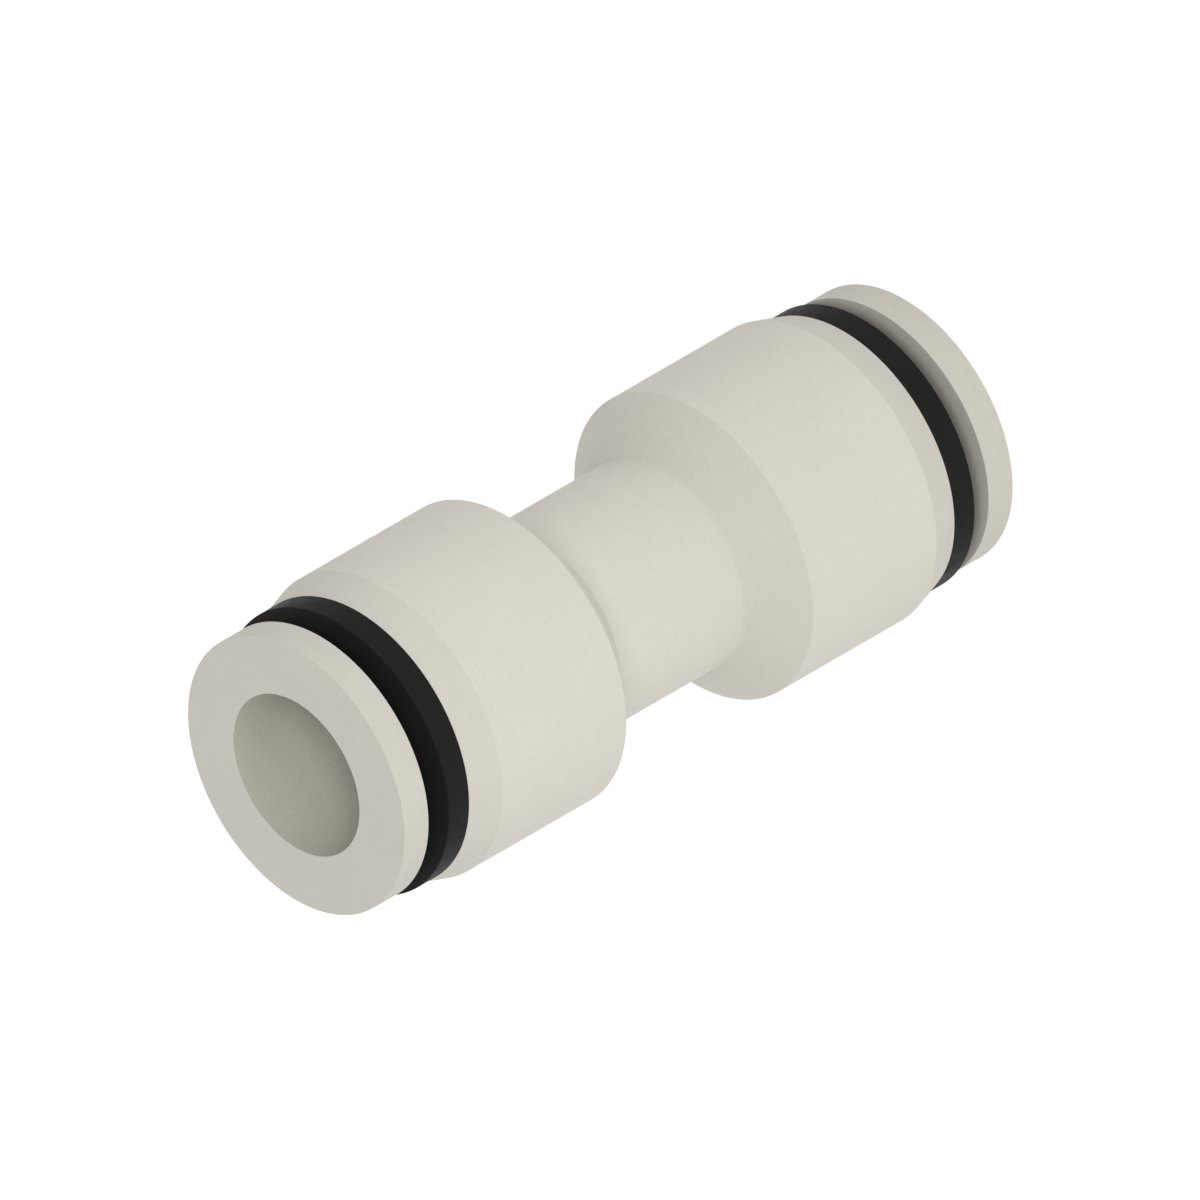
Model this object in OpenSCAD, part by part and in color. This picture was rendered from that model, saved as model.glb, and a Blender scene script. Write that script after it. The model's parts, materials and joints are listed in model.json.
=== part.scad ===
// Push-fit union: joins two lengths of the same tube in line, end to end.
// It stands on end b, with its axis on Z and its underside at Z = 0. End a is on top.
// Each barrel holds, from the middle of the union outwards: a lip seal, a backup ring,
// a slit collet that carries a claw ring, and a release button. A black guide ring
// snaps into the mouth of the barrel and closes it.
// Sections are drawn as [radius, height], with the height counted from the middle of
// the union towards an end. All sizes are in millimetres.

/* [Tube] */
// Outer diameter of the tube
tube_d = 8; // [6:0.5:12]
// Clearance round the tube, on the radius
tube_play = 0.05; // [0.03:0.01:0.1]
// How far the claws and the seal's lip reach inside the tube's surface, on the radius
tube_bite = 0.15; // [0.08:0.01:0.2]

/* [Body] */
// Radial height of the stop that the end of the tube meets
stop_rise = 1.05; // [0.6:0.05:1.5]
// Thickness of the stop between the two tube sockets
stop_len = 2; // [1:0.1:4]
// Chamfer on the edges of the stop
stop_chamfer = 0.25; // [0.1:0.05:0.4]
// Length of the thin neck
neck_len = 8; // [7:0.1:16]
// Wall of the neck round the tube socket
neck_wall = 1.25; // [1:0.05:2]
// Length of the cone between the neck and a barrel
shoulder_len = 2; // [1.5:0.1:4]
// How far the floor of the seal chamber lies beyond the cone
floor_set = 0.4; // [0.2:0.05:1.5]
// Lead-in chamfer at the mouth of the tube socket
socket_lead = 0.3; // [0.1:0.05:0.6]
// Width of the step that the backup ring rests on
seat_w = 0.5; // [0.3:0.05:0.7]
// Wall at the open end of a barrel
end_wall = 0.725; // [0.6:0.025:1.5]
// Radial height of the taper at the end of a barrel
taper_rise = 0.5; // [0.2:0.05:0.8]
// Length of the taper at the end of a barrel
taper_len = 1.65; // [0.8:0.05:3]

/* [Release button] */
// Wall of the sleeve
sleeve_wall = 0.85; // [0.75:0.05:1.2]
// How far the flange stands out beyond the sleeve
flange_rise = 2.075; // [1.2:0.025:3]
// Thickness of the flange
flange_t = 1.55; // [1:0.05:2.5]
// Travel of the button
stroke = 1; // [0.6:0.05:1.4]
// Room left at the end of the travel
stroke_spare = 0.1; // [0.05:0.01:0.3]
// Radial height of the hook that holds the button in
hook_rise = 0.45; // [0.3:0.05:0.6]
// Length of the hook, ramp included
hook_len = 0.7; // [0.5:0.05:1]
// Length of the flat top of the hook
hook_land = 0.25; // [0.1:0.05:0.4]
// Length of the nose that reaches in from the hook
nose_len = 1.7; // [1.2:0.1:3]
// Length of the taper at the tip of the nose
nose_taper = 0.6; // [0.2:0.05:1]
// Wall of the sleeve at the tip of the nose
nose_wall = 0.65; // [0.5:0.05:0.75]

/* [Guide ring] */
// Length of the collar that shows outside the body
collar_len = 1.3; // [0.8:0.05:2]
// Length of the inner lip that the hook catches on
lip_len = 0.8; // [0.5:0.05:1.2]
// Chamfer at the mouth of the lip
lip_chamfer = 0.2; // [0.1:0.05:0.4]
// Radial height of the cone that squeezes the collet
cone_rise = 0.4; // [0.25:0.05:0.6]
// Length of the cone
cone_len = 1.7; // [1.2:0.1:2.2]
// Wall of the skirt inside the body, at its thinnest
skirt_wall = 0.53; // [0.4:0.01:1]
// Chamfer at the inner end of the skirt
skirt_lead = 0.15; // [0.05:0.05:0.3]
// Radial height of the snap ridge
ridge_rise = 0.15; // [0.1:0.01:0.25]
// Length of the snap ridge, ramp included
ridge_len = 0.7; // [0.5:0.05:1]
// Length of the ramp on the snap ridge
ridge_ramp = 0.45; // [0.2:0.05:0.45]
// How far the snap ridge lies inside the end of the body
ridge_set = 0.9; // [0.5:0.05:1.5]

/* [Collet] */
// Overall length
collet_len = 2.7; // [2.4:0.05:4]
// Length of the whole ring at the outer end
ring_len = 0.6; // [0.4:0.05:0.8]
// Length of the finger heads
head_len = 1.4; // [1.2:0.05:1.6]
// Length of the straight part of the heads, before their cone
head_land = 0.6; // [0.4:0.05:0.9]
// Thickness of the fingers between the ring and the heads
finger_t = 0.7; // [0.5:0.05:0.8]
// Number of fingers
finger_count = 8; // [4:1:12]
// Width of the slits between the fingers
finger_slit = 0.5; // [0.3:0.05:0.8]
// Thickness of the inner lip that holds the claw ring in the heads
head_lip = 0.3; // [0.2:0.05:0.4]
// How much the bore opens, on the radius, between the heads and the outer end
collet_lead = 0.25; // [0.1:0.05:0.3]

/* [Claw ring] */
// Thickness of the sheet
sheet_t = 0.25; // [0.15:0.01:0.3]
// Width of the flat rim
rim_w = 0.3; // [0.2:0.05:0.35]
// Radial reach of a claw, from the bend to its tip
claw_reach = 1.05; // [0.9:0.05:1.1]
// Angle between a claw and the axis
claw_lean = 45; // [35:1:55]
// Number of claws
claw_count = 16; // [8:1:24]
// Width of the slits between the claws
claw_slit = 0.3; // [0.2:0.05:0.5]
// Width of the one gap that lets the rim open
rim_gap = 0.6; // [0.3:0.05:1]

/* [Seal] */
// Overall length
seal_len = 2.05; // [1.8:0.05:3]
// Length of the solid heel
heel_len = 1; // [0.6:0.05:1.2]
// Thickness of each lip at its root
lip_root = 0.6; // [0.4:0.05:0.65]
// Thickness of each lip at its rounded tip
lip_tip = 0.4; // [0.25:0.05:0.4]

/* [Backup ring] */
// Length of the spigot that reaches into the seal chamber
spigot_len = 0.6; // [0.4:0.05:1]
// Thickness of the flange that rests on the step
backup_t = 0.6; // [0.4:0.05:1]

/* [Clearances] */
// Between the button's sleeve and the guide ring's lip, on the radius
sleeve_play = 0.2; // [0.1:0.01:0.25]
// Between the button's hook and the guide ring, on the radius
hook_play = 0.15; // [0.1:0.01:0.25]
// Between the guide ring's skirt and the body, on the radius
skirt_play = 0.02; // [0.01:0.01:0.05]
// Along the axis, between a piece and the piece that holds it
end_play = 0.05; // [0.03:0.01:0.1]
// Between the collet's heads or its ring and the guide ring, on the radius
collet_play = 0.15; // [0.1:0.01:0.2]
// Between the tube's bore and the collet or the backup ring, on the radius
bore_play = 0.1; // [0.05:0.01:0.15]
// Between the backup ring or the seal and the body, on the radius
seat_play = 0.03; // [0.02:0.01:0.1]
// Between the claws and what stands behind them, on the radius
claw_play = 0.15; // [0.1:0.01:0.2]

/* [Hidden] */
$fn = 96;

white_resin = "#DBD6CC";
black_resin = "#252623";
clear_resin = "#E6E0CF";
spring_steel = "#B7BABC";
black_rubber = "#2B2B2D";

// Radii, from the tube outwards
port_r = tube_d / 2 + tube_play;
passage_r = port_r - stop_rise;
neck_r = port_r + neck_wall;
sleeve_r = port_r + sleeve_wall;
flange_r = sleeve_r + flange_rise;
hook_r = sleeve_r + hook_rise;
lip_r = sleeve_r + sleeve_play;
guide_r = hook_r + hook_play;
cone_r = guide_r + cone_rise;
skirt_r = cone_r + skirt_wall;
mouth_r = skirt_r + skirt_play;
chamber_r = mouth_r - seat_w;
end_r = mouth_r + end_wall;
barrel_r = end_r + taper_rise;

// Heights, from the middle of the union outwards
stop_z = stop_len / 2;
neck_z = neck_len / 2;
shoulder_z = neck_z + shoulder_len;
floor_z = shoulder_z + floor_set;
seal_z = floor_z + end_play;
spigot_z = seal_z + seal_len;
seat_z = spigot_z + spigot_len;
skirt_z = seat_z + backup_t;
collet_z = skirt_z + stroke + stroke_spare;
nose_z = collet_z + collet_len + 2 * end_play;
hook_z = nose_z + nose_len;
catch_z = hook_z + hook_len;
lip_z = catch_z + 2 * end_play;
collar_z = lip_z + lip_len;
end_z = collar_z - collar_len;
taper_z = end_z - taper_len;
ridge_z = end_z - ridge_set - ridge_len;
flange_z = collar_z + stroke + stroke_spare;
top_z = flange_z + flange_t;

// The collet's heads lie along the guide ring's cone, and the claw ring's rim sits in them
collet_r = port_r + bore_play;
head_r = cone_r - collet_play;
head_z = collet_z + head_len;
cone_z = collet_z + head_land;
head_small_r = head_r - (head_z - cone_z) * cone_rise / cone_len;
ring_r = guide_r - collet_play - end_play;
ring_z = collet_z + collet_len - ring_len;
rim_z = collet_z + head_lip + end_play;
rim_top_z = rim_z + sheet_t;
tip_r = tube_d / 2 - tube_bite;
tip_z = rim_top_z - claw_reach / tan(claw_lean);
bend_r = tip_r + claw_reach;
bend_low_r = bend_r + sheet_t * tan((90 - claw_lean) / 2);
rim_r = bend_low_r + rim_w;

// How far a cutting shape runs past the face that it cuts
past = 1;

function reversed(points) = [for (i = [len(points) - 1 : -1 : 0]) points[i]];

// A section's points again, turned upside down and in reverse order
function flipped(points) = [for (point = reversed(points)) [point[0], -point[1]]];

// Points along the lower half of a circle, from left to right
function half_round(centre, r, steps = 8) = [
    for (i = [0 : steps]) centre + r * [cos(180 + 180 * i / steps), sin(180 + 180 * i / steps)]
];

// The snap ridge as it stands on a cylinder of radius r, longer by play at each end
function ridge(r, play) = [
    [r, ridge_z - play],
    [r + ridge_rise, ridge_z + ridge_ramp - play],
    [r + ridge_rise, ridge_z + ridge_len + play],
    [r, ridge_z + ridge_len + play]
];

// Radius at height z of the cone that lies behind the claws, when their rim rests at height base_z
function behind_claws(z, base_z) = bend_low_r + claw_play - (base_z - z) * tan(claw_lean);

module revolve(section) {
    rotate_extrude() polygon(section);
}

// Cuts radial slits of the given width, from the axis out to radius r, between two heights
module slits(count, width, r, low_z, high_z) {
    for (i = [0 : count - 1])
        rotate([0, 0, i * 360 / count])
            translate([0, -width / 2, low_z])
                cube([r, width, high_z - low_z]);
}

module place_a() {
    translate([0, 0, top_z]) children();
}

module place_b() {
    translate([0, 0, top_z]) mirror([0, 0, 1]) children();
}

// Two barrels, their conical shoulders and the neck, moulded in one
module union_body() {
    outside = [
        [end_r, end_z],
        [barrel_r, taper_z],
        [barrel_r, shoulder_z],
        [neck_r, neck_z]
    ];
    inside = [
        [passage_r, stop_z - stop_chamfer],
        [passage_r + stop_chamfer, stop_z],
        [port_r, stop_z],
        [port_r, floor_z - socket_lead],
        [port_r + socket_lead, floor_z],
        [chamber_r, floor_z],
        [chamber_r, seat_z],
        [mouth_r, seat_z],
        each ridge(mouth_r, end_play),
        [mouth_r, end_z]
    ];
    color(white_resin)
        translate([0, 0, top_z])
            revolve(concat(outside, flipped(outside), flipped(inside), inside));
}

// Flanged sleeve. Its hook is snapped in behind the guide ring's lip, and its nose pushes the collet
module release_button() {
    color(white_resin)
        revolve([
            [port_r, nose_z],
            [port_r + nose_wall, nose_z],
            [sleeve_r, nose_z + nose_taper],
            [sleeve_r, hook_z],
            [hook_r, catch_z - hook_land],
            [hook_r, catch_z],
            [sleeve_r, catch_z],
            [sleeve_r, flange_z],
            [flange_r, flange_z],
            [flange_r, top_z],
            [port_r, top_z]
        ]);
}

// Collar, lip, skirt and snap ridge, with the cone inside the skirt
module guide_ring() {
    color(black_resin)
        revolve([
            [lip_r, lip_z],
            [lip_r, collar_z - lip_chamfer],
            [lip_r + lip_chamfer, collar_z],
            [end_r, collar_z],
            [end_r, end_z],
            [skirt_r, end_z],
            each reversed(ridge(skirt_r, 0)),
            [skirt_r, skirt_z + skirt_lead],
            [skirt_r - skirt_lead, skirt_z],
            [cone_r, skirt_z],
            [cone_r, cone_z],
            [guide_r, cone_z + cone_len],
            [guide_r, lip_z]
        ]);
}

// Whole ring at the outer end, and fingers that carry the heads inwards
module collet() {
    top = collet_z + collet_len;
    lip_top = rim_z - end_play;
    color(clear_resin)
        difference() {
            revolve([
                [behind_claws(collet_z, rim_z), collet_z],
                [head_r, collet_z],
                [head_r, cone_z],
                [head_small_r, head_z],
                [collet_r + finger_t, head_z],
                [collet_r + finger_t, ring_z],
                [ring_r, ring_z],
                [ring_r, top],
                [collet_r + collet_lead, top],
                [collet_r, head_z],
                [collet_r, rim_top_z + end_play],
                [rim_r + end_play, rim_top_z + end_play],
                [rim_r + end_play, lip_top],
                [behind_claws(lip_top, rim_z), lip_top]
            ]);
            slits(finger_count, finger_slit, head_r + past, collet_z - past, ring_z);
        }
}

// Flat rim with claws bent inwards and away from the mouth, pressed from spring sheet
module claw_ring() {
    color(spring_steel)
        difference() {
            revolve([
                [tip_r, tip_z],
                [tip_r + sheet_t * cos(claw_lean), tip_z - sheet_t * sin(claw_lean)],
                [bend_low_r, rim_z],
                [rim_r, rim_z],
                [rim_r, rim_top_z],
                [bend_r, rim_top_z]
            ]);
            slits(claw_count, claw_slit, bend_low_r, tip_z - past, rim_top_z + past);
            slits(1, rim_gap, rim_r + past, tip_z - past, rim_top_z + past);
        }
}

// Stepped ring, countersunk so that the claws have room when the button is pressed
module backup_ring() {
    pressed_z = rim_z - stroke;
    color(clear_resin)
        difference() {
            revolve([
                [port_r + 2 * bore_play, spigot_z],
                [chamber_r - seat_play, spigot_z],
                [chamber_r - seat_play, seat_z],
                [mouth_r - seat_play, seat_z],
                [mouth_r - seat_play, skirt_z],
                [port_r + 2 * bore_play, skirt_z]
            ]);
            translate([0, 0, spigot_z])
                cylinder(
                    h = skirt_z + past - spigot_z,
                    r1 = behind_claws(spigot_z, pressed_z),
                    r2 = behind_claws(skirt_z + past, pressed_z)
                );
        }
}

// Lip seal of U section, open towards the middle of the union where the pressure is
module seal() {
    heel_in = port_r + bore_play;
    heel_out = chamber_r - seat_play;
    heel_z = spigot_z - heel_len;
    tip = lip_tip / 2;
    color(black_rubber)
        revolve([
            [heel_in, spigot_z],
            [heel_in, heel_z],
            each half_round([tip_r + tip, seal_z + tip], tip),
            [heel_in + lip_root, heel_z],
            [heel_out - lip_root, heel_z],
            each half_round([heel_out - tip, seal_z + tip], tip),
            [heel_out, heel_z],
            [heel_out, spigot_z]
        ]);
}

module release_button_a() { place_a() release_button(); }
module release_button_b() { place_b() release_button(); }
module guide_ring_a() { place_a() guide_ring(); }
module guide_ring_b() { place_b() guide_ring(); }
module collet_a() { place_a() collet(); }
module collet_b() { place_b() collet(); }
module claw_ring_a() { place_a() claw_ring(); }
module claw_ring_b() { place_b() claw_ring(); }
module backup_ring_a() { place_a() backup_ring(); }
module backup_ring_b() { place_b() backup_ring(); }
module seal_a() { place_a() seal(); }
module seal_b() { place_b() seal(); }

union_body();
release_button_a();
release_button_b();
guide_ring_a();
guide_ring_b();
collet_a();
collet_b();
claw_ring_a();
claw_ring_b();
backup_ring_a();
backup_ring_b();
seal_a();
seal_b();
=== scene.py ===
import json
import math

import bmesh
import bpy
import numpy as np
from mathutils import Matrix, Vector


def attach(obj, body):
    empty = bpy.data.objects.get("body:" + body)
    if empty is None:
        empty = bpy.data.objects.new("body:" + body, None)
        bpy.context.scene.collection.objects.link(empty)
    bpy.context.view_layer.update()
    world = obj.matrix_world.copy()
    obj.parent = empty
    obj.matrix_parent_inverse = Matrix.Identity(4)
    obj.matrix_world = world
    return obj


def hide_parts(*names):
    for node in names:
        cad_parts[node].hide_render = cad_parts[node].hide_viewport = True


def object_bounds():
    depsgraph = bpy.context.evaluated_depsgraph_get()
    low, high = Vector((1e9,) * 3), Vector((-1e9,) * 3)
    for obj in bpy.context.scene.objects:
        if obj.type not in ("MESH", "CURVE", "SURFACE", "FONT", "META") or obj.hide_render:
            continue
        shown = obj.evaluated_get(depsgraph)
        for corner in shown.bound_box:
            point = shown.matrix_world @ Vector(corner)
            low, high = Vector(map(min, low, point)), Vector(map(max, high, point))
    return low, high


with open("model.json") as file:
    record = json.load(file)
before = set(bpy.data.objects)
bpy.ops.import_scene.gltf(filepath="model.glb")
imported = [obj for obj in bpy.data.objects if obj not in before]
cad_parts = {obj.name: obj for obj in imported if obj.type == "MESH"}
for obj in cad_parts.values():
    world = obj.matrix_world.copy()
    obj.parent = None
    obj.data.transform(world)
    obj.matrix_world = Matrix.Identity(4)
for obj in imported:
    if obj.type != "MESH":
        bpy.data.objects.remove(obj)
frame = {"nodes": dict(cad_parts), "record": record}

MM = 0.001
CAD_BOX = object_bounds()


# Plain helpers

def linear(red, green, blue):
    """An sRGB colour, given from 0 to 255, as the linear colour that shaders take."""
    def one(value):
        value /= 255
        return value / 12.92 if value <= 0.04045 else ((value + 0.055) / 1.055) ** 2.4
    return (one(red), one(green), one(blue), 1.0)


def unit(vector):
    return vector / np.linalg.norm(vector)


# Sections and turned pieces

LATHE_STEPS = 192
SAME_POINT = 2e-6
STRAIGHT = 0.01
CORNER_STEP = 22.5
ROOM_SHARE = 0.45
EDGE_RADIUS = 0.03 * MM
NECK_CORNER_RADIUS = 0.25 * MM


def section_loop(node_name):
    """The section of a turned CAD node: its edge circles as (radius, height), in order, counterclockwise."""
    mesh = frame["nodes"][node_name].data
    co = np.array([vertex.co for vertex in mesh.vertices], float)
    points = np.column_stack([np.hypot(co[:, 0], co[:, 1]), co[:, 2]])
    circles = []
    circle_of = np.empty(len(points), int)
    for index, point in enumerate(points):
        for number, known in enumerate(circles):
            if abs(point[0] - known[0]) < SAME_POINT and abs(point[1] - known[1]) < SAME_POINT:
                circle_of[index] = number
                break
        else:
            circle_of[index] = len(circles)
            circles.append(point)
    neighbours = {number: set() for number in range(len(circles))}
    for polygon in mesh.polygons:
        ids = {int(circle_of[vertex]) for vertex in polygon.vertices}
        for first in ids:
            neighbours[first] |= ids - {first}
    walk = [0]
    while True:
        onward = [number for number in sorted(neighbours[walk[-1]]) if number not in walk]
        if not onward:
            break
        walk.append(onward[0])
    if len(walk) != len(circles) or any(len(found) != 2 for found in neighbours.values()):
        raise ValueError(f"{node_name} isn't one turned section")
    loop = np.array([circles[number] for number in walk])
    following = np.roll(loop, -1, axis=0)
    area = np.sum(loop[:, 0] * following[:, 1] - following[:, 0] * loop[:, 1])
    return loop if area > 0 else loop[::-1]


def rounded(loop, outside_radius):
    """The section with its corners rounded, and the outward normal at each of its points.
    outside_radius is the radius in the inner corners on the outside, and all others have EDGE_RADIUS."""
    points, normals = [], []
    count = len(loop)
    for index in range(count):
        before, corner, after = loop[index - 1], loop[index], loop[(index + 1) % count]
        way_in, way_out = unit(corner - before), unit(after - corner)
        turn = math.atan2(way_in[0] * way_out[1] - way_in[1] * way_out[0], way_in @ way_out)
        if abs(turn) < STRAIGHT:
            continue
        on_outside = turn < 0 and way_in[1] > 0 and way_out[1] > 0
        radius = outside_radius if on_outside else EDGE_RADIUS
        room = ROOM_SHARE * min(np.linalg.norm(corner - before), np.linalg.norm(after - corner))
        reach = min(radius * math.tan(abs(turn) / 2), room)
        radius = reach / math.tan(abs(turn) / 2)
        steps = max(2, math.ceil(abs(math.degrees(turn)) / CORNER_STEP))
        start = corner - way_in * reach
        normal_in = np.array([way_in[1], -way_in[0]])
        side = math.copysign(1.0, turn)
        centre = start - side * radius * normal_in
        for step in range(steps + 1):
            angle = turn * step / steps
            normal = np.array([
                normal_in[0] * math.cos(angle) - normal_in[1] * math.sin(angle),
                normal_in[0] * math.sin(angle) + normal_in[1] * math.cos(angle),
            ])
            points.append(centre + side * radius * normal)
            normals.append(normal)
    return np.array(points), np.array(normals)


def turned_piece(name, points, normals):
    """A closed section turned round the Z axis, with the section's own normals."""
    count = len(points)
    angles = np.arange(LATHE_STEPS) * 2 * math.pi / LATHE_STEPS
    cosines, sines = np.cos(angles)[:, None], np.sin(angles)[:, None]
    co = np.stack([
        points[None, :, 0] * cosines,
        points[None, :, 0] * sines,
        np.broadcast_to(points[None, :, 1], (LATHE_STEPS, count)),
    ], axis=2).reshape(-1, 3)
    shading = np.stack([
        normals[None, :, 0] * cosines,
        normals[None, :, 0] * sines,
        np.broadcast_to(normals[None, :, 1], (LATHE_STEPS, count)),
    ], axis=2).reshape(-1, 3)
    faces = []
    for turn in range(LATHE_STEPS):
        here, there = turn * count, (turn + 1) % LATHE_STEPS * count
        for index in range(count):
            onward = (index + 1) % count
            faces.append((here + index, there + index, there + onward, here + onward))
    mesh = bpy.data.meshes.new(name)
    mesh.from_pydata(co.tolist(), [], faces)
    mesh.polygons.foreach_set("use_smooth", [True] * len(mesh.polygons))
    mesh.update()
    mesh.normals_split_custom_set_from_vertices(shading.tolist())
    piece = bpy.data.objects.new(name, mesh)
    bpy.context.scene.collection.objects.link(piece)
    return piece


# Materials

def new_material(name):
    material = bpy.data.materials.new(name)
    material.use_nodes = True
    tree = material.node_tree
    tree.nodes.clear()
    output = tree.nodes.new("ShaderNodeOutputMaterial")
    shader = tree.nodes.new("ShaderNodeBsdfPrincipled")
    tree.links.new(shader.outputs["BSDF"], output.inputs["Surface"])
    return material, tree, shader


def noise(tree, place, size, detail=2.0, roughness=0.5):
    """Noise with blotches of about the given size in metres, as a value from 0 to 1."""
    node = tree.nodes.new("ShaderNodeTexNoise")
    node.inputs["Scale"].default_value = 0.5 / size
    node.inputs["Detail"].default_value = detail
    node.inputs["Roughness"].default_value = roughness
    tree.links.new(place, node.inputs["Vector"])
    return node.outputs["Fac"]


def spread(tree, value, low, high, from_low=0.3, from_high=0.7):
    """The value from its usual range onto low to high."""
    node = tree.nodes.new("ShaderNodeMapRange")
    for socket, number in zip(("From Min", "From Max", "To Min", "To Max"), (from_low, from_high, low, high)):
        node.inputs[socket].default_value = number
    tree.links.new(value, node.inputs["Value"])
    return node.outputs["Result"]


def times(tree, first, second):
    node = tree.nodes.new("ShaderNodeMath")
    node.operation = "MULTIPLY"
    tree.links.new(first, node.inputs[0])
    tree.links.new(second, node.inputs[1])
    return node.outputs["Value"]


def tinted(tree, colour, value):
    """The colour made lighter or darker by the value."""
    node = tree.nodes.new("ShaderNodeVectorMath")
    node.operation = "SCALE"
    node.inputs[0].default_value = colour[:3]
    tree.links.new(value, node.inputs["Scale"])
    return node.outputs["Vector"]


def relief(tree, shader, height, depth):
    """A bump of the given depth in metres."""
    node = tree.nodes.new("ShaderNodeBump")
    node.inputs["Strength"].default_value = 1.0
    node.inputs["Distance"].default_value = depth
    tree.links.new(height, node.inputs["Height"])
    tree.links.new(node.outputs["Normal"], shader.inputs["Normal"])


def painted_shade_of_cones(tree, shade_factor):
    """Painted shade: 1 on faces along the axis and across it, and the given darker factor on the faces that
    slope, so that they look shaded.
    """
    split = tree.nodes.new("ShaderNodeSeparateXYZ")
    tree.links.new(tree.nodes.new("ShaderNodeTexCoord").outputs["Normal"], split.inputs["Vector"])
    slope = tree.nodes.new("ShaderNodeMath")
    slope.operation = "ABSOLUTE"
    tree.links.new(split.outputs["Z"], slope.inputs[0])
    return spread(tree, slope.outputs["Value"], 1.0, shade_factor, 0.05, 0.25)


FINE_MOTTLE = 0.09 * MM
CLOUDS = 2.2 * MM
GLOSS_PATCHES = 0.3 * MM
GLOSS_SPREAD = 0.06
CLOUD_SHARE = 0.6


def resin(name, colour, mottle, roughness, grain, specular=0.5, cone_painted_shade=None):
    """Moulded resin: a fine mottle in its colour, soft clouds, and the grain of the mould's surface.
    cone_painted_shade, when given, is painted shade: the factor by which the conical faces are darker than
    the others."""
    material, tree, shader = new_material(name)
    place = tree.nodes.new("ShaderNodeTexCoord").outputs["Object"]
    fine = noise(tree, place, FINE_MOTTLE, roughness=0.6)
    cloud = noise(tree, place, CLOUDS)
    shade = times(
        tree,
        spread(tree, fine, 1 - mottle, 1 + mottle),
        spread(tree, cloud, 1 - CLOUD_SHARE * mottle, 1 + CLOUD_SHARE * mottle),
    )
    # Painted shade: the sloping conical faces are made darker in the colour
    if cone_painted_shade is not None:
        shade = times(tree, shade, painted_shade_of_cones(tree, cone_painted_shade))
    tree.links.new(tinted(tree, colour, shade), shader.inputs["Base Color"])
    tree.links.new(
        spread(tree, noise(tree, place, GLOSS_PATCHES), roughness - GLOSS_SPREAD, roughness + GLOSS_SPREAD),
        shader.inputs["Roughness"],
    )
    relief(tree, shader, fine, grain)
    shader.inputs["Specular IOR Level"].default_value = specular
    return material


# The body's conical faces carry painted shade, 7% darker than its other faces
white_resin = resin("white_resin", linear(219, 214, 204), 0.02, 0.55, 0.02 * MM, specular=0.1, cone_painted_shade=0.93)
button_resin = resin("button_resin", linear(210, 206, 196), 0.02, 0.55, 0.02 * MM, specular=0.1)
black_resin = resin("black_resin", linear(34, 34, 33), 0.06, 0.5, 0.003 * MM, specular=0.03)
natural_resin = resin("natural_resin", linear(228, 222, 205), 0.02, 0.4, 0.003 * MM)


def spring_steel_material():
    """Bright sheet steel. Its fine rolling marks run straight across the ring, because the sheet
    was flat when it was rolled."""
    material, tree, shader = new_material("spring_steel")
    stretch = tree.nodes.new("ShaderNodeMapping")
    stretch.inputs["Scale"].default_value = (0.04, 1.0, 1.0)
    tree.links.new(tree.nodes.new("ShaderNodeTexCoord").outputs["Object"], stretch.inputs["Vector"])
    marks = noise(tree, stretch.outputs["Vector"], 0.02 * MM)
    tree.links.new(
        tinted(tree, linear(196, 198, 200), spread(tree, marks, 0.94, 1.03)),
        shader.inputs["Base Color"],
    )
    tree.links.new(spread(tree, marks, 0.3, 0.34), shader.inputs["Roughness"])
    shader.inputs["Metallic"].default_value = 1.0
    relief(tree, shader, marks, 0.0004 * MM)
    return material


def rubber_material():
    """Black seal rubber with a dull, slightly uneven skin."""
    material, tree, shader = new_material("seal_rubber")
    place = tree.nodes.new("ShaderNodeTexCoord").outputs["Object"]
    skin = noise(tree, place, 0.1 * MM, detail=3.0)
    tree.links.new(
        tinted(tree, linear(34, 34, 36), spread(tree, skin, 0.85, 1.15)),
        shader.inputs["Base Color"],
    )
    tree.links.new(spread(tree, skin, 0.55, 0.75), shader.inputs["Roughness"])
    relief(tree, shader, skin, 0.004 * MM)
    return material


spring_steel = spring_steel_material()
seal_rubber = rubber_material()


# Pieces

def body_of_node(node_name):
    for body, members in frame["record"]["behaviour"]["bodies"].items():
        if node_name in members:
            return body
    raise ValueError(f"{node_name} is in no body")


def dress(node_name, piece_name, material, outside_radius=EDGE_RADIUS):
    """Replaces a turned CAD node by a smooth piece of the same section with slightly rounded corners."""
    piece = turned_piece(piece_name, *rounded(section_loop(node_name), outside_radius))
    piece.data.materials.append(material)
    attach(piece, body_of_node(node_name))
    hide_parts(node_name)


def finish_node(node_name, material):
    """Gives a CAD node that stays in view its material."""
    node = frame["nodes"][node_name]
    node.data.materials.clear()
    node.data.materials.append(material)


dress("union_body", "body_moulding", white_resin, NECK_CORNER_RADIUS)
for end in "ab":
    dress(f"release_button_{end}", f"button_moulding_{end}", button_resin)
    dress(f"guide_ring_{end}", f"guide_moulding_{end}", black_resin)
    dress(f"backup_ring_{end}", f"backup_moulding_{end}", natural_resin)
    dress(f"seal_{end}", f"lip_seal_{end}", seal_rubber)
    finish_node(f"collet_{end}", natural_resin)
    finish_node(f"claw_ring_{end}", spring_steel)


# Floor and world. Both look white to the camera and in reflections, and the floor keeps the shadow

def by_ray(tree, on_object, seen):
    """One value for the light that falls on the object, and one for the camera and for reflections."""
    path = tree.nodes.new("ShaderNodeLightPath")
    found = None
    for kind in ("Is Camera Ray", "Is Glossy Ray", "Is Transmission Ray"):
        mix = tree.nodes.new("ShaderNodeMix")
        mix.inputs["A"].default_value = on_object
        mix.inputs["B"].default_value = seen
        if found is not None:
            tree.links.new(found, mix.inputs["A"])
        tree.links.new(path.outputs[kind], mix.inputs["Factor"])
        found = mix.outputs["Result"]
    return found


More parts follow.
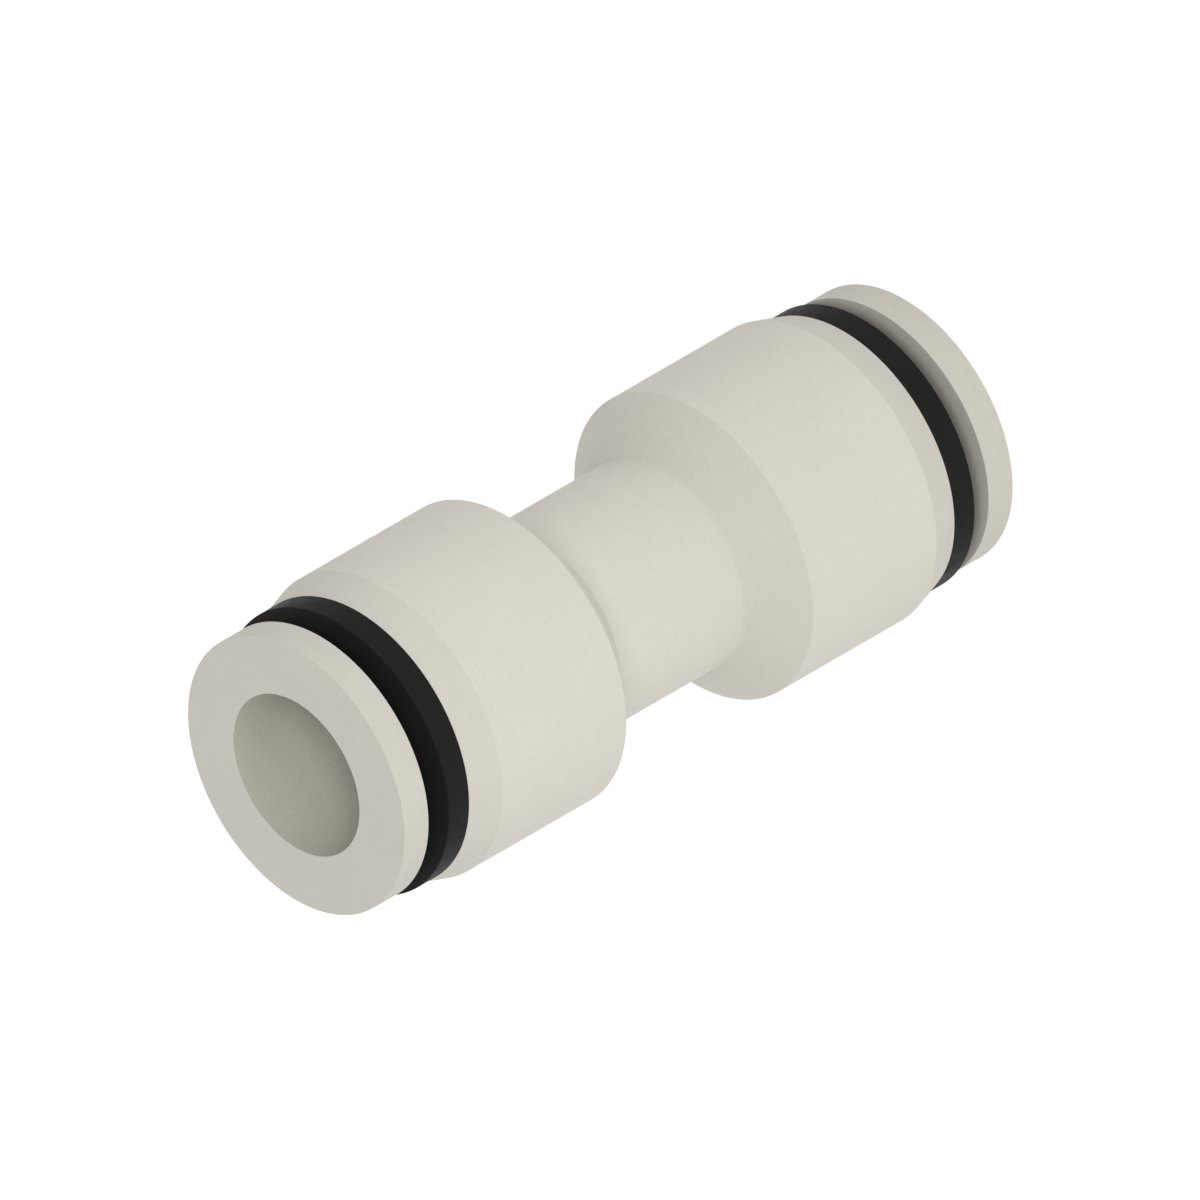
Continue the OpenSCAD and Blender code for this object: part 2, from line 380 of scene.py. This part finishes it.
WORLD_LIGHT, WORLD_SEEN = 0.42, 1.0
FLOOR_COLOUR = (0.92, 0.92, 0.92, 1.0)
FLOOR_GLOW, FLOOR_GLOW_SEEN = 0.1, 0.45
FLOOR_HALF = 1.0
FLOOR_HEIGHT = -0.02 * MM


def build_floor():
    mesh = bmesh.new()
    corners = ((-1, -1), (1, -1), (1, 1), (-1, 1))
    mesh.faces.new([mesh.verts.new((x * FLOOR_HALF, y * FLOOR_HALF, 0)) for x, y in corners])
    data = bpy.data.meshes.new("floor")
    mesh.to_mesh(data)
    mesh.free()
    floor = bpy.data.objects.new("floor", data)
    bpy.context.scene.collection.objects.link(floor)
    floor.location.z = FLOOR_HEIGHT
    material = bpy.data.materials.new("floor")
    material.use_nodes = True
    tree = material.node_tree
    tree.nodes.clear()
    output = tree.nodes.new("ShaderNodeOutputMaterial")
    both = tree.nodes.new("ShaderNodeAddShader")
    diffuse = tree.nodes.new("ShaderNodeBsdfDiffuse")
    diffuse.inputs["Color"].default_value = FLOOR_COLOUR
    glow = tree.nodes.new("ShaderNodeEmission")
    tree.links.new(by_ray(tree, FLOOR_GLOW, FLOOR_GLOW_SEEN), glow.inputs["Strength"])
    tree.links.new(diffuse.outputs["BSDF"], both.inputs[0])
    tree.links.new(glow.outputs["Emission"], both.inputs[1])
    tree.links.new(both.outputs["Shader"], output.inputs["Surface"])
    # The glow is met by rays only, so that each kind of ray finds its own value
    material.cycles.emission_sampling = "NONE"
    data.materials.append(material)


def build_world():
    world = bpy.data.worlds.new("studio")
    bpy.context.scene.world = world
    world.use_nodes = True
    tree = world.node_tree
    tree.nodes.clear()
    output = tree.nodes.new("ShaderNodeOutputWorld")
    background = tree.nodes.new("ShaderNodeBackground")
    background.inputs["Color"].default_value = (1.0, 1.0, 1.0, 1.0)
    tree.links.new(by_ray(tree, WORLD_LIGHT, WORLD_SEEN), background.inputs["Strength"])
    tree.links.new(background.outputs["Background"], output.inputs["Surface"])


build_floor()
build_world()


# Lamps. A lamp's share is the light that it gives to a surface facing it, where 1 shows a colour as written

MIDDLE = Vector((0.0, 0.0, (CAD_BOX[0].z + CAD_BOX[1].z) / 2))
LAMPS = (
    # name, azimuth, elevation, distance, width, share
    ("key", 0, 39, 0.9, 0.42, 0.43),
    ("fill_left", -90, 5, 0.9, 0.60, 0.21),
    ("top", 0, 88, 0.9, 0.60, 0.11),
    ("back", 180, 6, 0.9, 0.72, 0.28),
)


def direction(azimuth, elevation):
    """From the object towards a viewer. Azimuth 0 is -Y, and 90 is +X."""
    a, e = math.radians(azimuth), math.radians(elevation)
    return Vector((math.sin(a) * math.cos(e), -math.cos(a) * math.cos(e), math.sin(e)))


def build_lamp(name, azimuth, elevation, distance, width, share):
    light = bpy.data.lights.new(name, "AREA")
    light.shape = "DISK"
    light.size = width
    light.energy = share * (math.pi * distance) ** 2
    lamp = bpy.data.objects.new(name, light)
    bpy.context.scene.collection.objects.link(lamp)
    towards = direction(azimuth, elevation)
    lamp.location = MIDDLE + towards * distance
    lamp.rotation_euler = (-towards).to_track_quat("-Z", "Y").to_euler()
    lamp.visible_camera = False


for values in LAMPS:
    build_lamp(*values)


# Camera: isometric, and rolled so that the object lies as in the photograph

PIXELS_PER_MM = 22.0
PICTURE_PIXELS = 1200
CAMERA_ELEVATION = 35.264
CAMERA_ROLL = 120
CAMERA_DISTANCE = 0.4
CAMERA_NEAR, CAMERA_FAR = 0.01, 5.0
SHIFT_RIGHT_PX, SHIFT_UP_PX = -0.28, -0.24


def build_camera():
    data = bpy.data.cameras.new("camera")
    data.type = "ORTHO"
    data.ortho_scale = PICTURE_PIXELS / PIXELS_PER_MM * MM
    data.clip_start = CAMERA_NEAR
    data.clip_end = CAMERA_FAR
    camera = bpy.data.objects.new("camera", data)
    bpy.context.scene.collection.objects.link(camera)
    back = direction(0, CAMERA_ELEVATION)
    level_right = Vector((1.0, 0.0, 0.0))
    level_up = back.cross(level_right)
    roll = math.radians(CAMERA_ROLL)
    right = math.cos(roll) * level_right - math.sin(roll) * level_up
    up = math.cos(roll) * level_up + math.sin(roll) * level_right
    shift = (right * SHIFT_RIGHT_PX + up * SHIFT_UP_PX) * MM / PIXELS_PER_MM
    camera.location = MIDDLE + back * CAMERA_DISTANCE + shift
    camera.rotation_mode = "QUATERNION"
    camera.rotation_quaternion = Matrix((right, up, back)).transposed().to_quaternion()
    bpy.context.scene.camera = camera


build_camera()
bpy.context.scene.view_settings.view_transform = "Standard"
